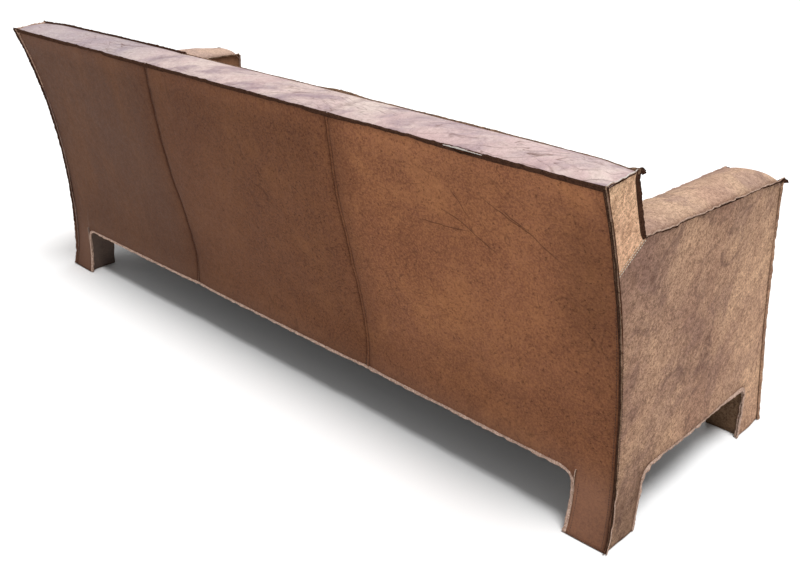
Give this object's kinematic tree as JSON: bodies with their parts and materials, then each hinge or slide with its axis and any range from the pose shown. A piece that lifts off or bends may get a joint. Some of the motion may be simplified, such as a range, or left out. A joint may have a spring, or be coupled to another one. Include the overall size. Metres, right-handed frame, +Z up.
{
  "type": "three-seat leather sofa",
  "caption": "Worn raw-edge leather sofa with a leaning back, padded arms, loose seat cushions and square leather-wrapped legs joined by arches.",
  "frame": {"origin": "on the floor under the middle of the whole sofa's box", "axes": "+X along the sofa's length, -Y to the front where one sits down, +Z up"},
  "size_m": [2.25, 0.8694, 0.8812],
  "materials": {
    "back_leather": "aged red-brown waxed leather, satin, mottled",
    "top_leather": "sun-faded pinkish grey leather, satin",
    "arm_leather": "faded tan leather, matte",
    "side_leather": "suede-like brown leather, matte, streaked",
    "seat_leather": "aged brown leather, satin",
    "lining_leather": "rough flesh side of leather",
    "beech": "sawn, unfinished",
    "spring_steel": "bright wire",
    "foam": "cut foam",
    "black_cloth": "woven polypropylene",
    "glide_plastic": "moulded"
  },
  "bodies": {
    "root": {"outer_back_near": "back_leather", "top_strip_near": "top_leather", "inner_back_near": "seat_leather", "seat_cushion_near": "seat_leather", "outer_back_mid": "back_leather", "top_strip_mid": "top_leather", "inner_back_mid": "seat_leather", "seat_cushion_mid": "seat_leather", "outer_back_far": "back_leather", "top_strip_far": "top_leather", "inner_back_far": "seat_leather", "seat_cushion_far": "seat_leather", "wing_end_near": "arm_leather", "side_panel_near": "side_leather", "arm_strip_near": "arm_leather", "inner_arm_near": "seat_leather", "leg_lining_rear_near": "lining_leather", "leg_lining_front_near": "lining_leather", "rear_post_near": "beech", "rear_leg_block_near": "beech", "front_post_near": "beech", "front_leg_block_near": "beech", "side_rail_near": "beech", "arm_rail_near": "beech", "back_stile_near": "beech", "arm_pad_near": "foam", "foot_glide_rear_near": "glide_plastic", "foot_glide_front_near": "glide_plastic", "wing_end_far": "arm_leather", "side_panel_far": "side_leather", "arm_strip_far": "arm_leather", "inner_arm_far": "seat_leather", "leg_lining_rear_far": "lining_leather", "leg_lining_front_far": "lining_leather", "rear_post_far": "beech", "rear_leg_block_far": "beech", "front_post_far": "beech", "front_leg_block_far": "beech", "side_rail_far": "beech", "arm_rail_far": "beech", "back_stile_far": "beech", "arm_pad_far": "foam", "foot_glide_rear_far": "glide_plastic", "foot_glide_front_far": "glide_plastic", "front_border": "seat_leather", "seat_rail_front": "beech", "seat_rail_back": "beech", "seat_brace": "beech", "back_top_rail": "beech", "back_mid_rail": "beech", "seat_spring_1": "spring_steel", "seat_spring_2": "spring_steel", "seat_spring_3": "spring_steel", "seat_spring_4": "spring_steel", "seat_spring_5": "spring_steel", "seat_spring_6": "spring_steel", "back_pad": "foam", "deck_cloth": "black_cloth", "dust_cover": "black_cloth"}
  },
  "joints": []
}
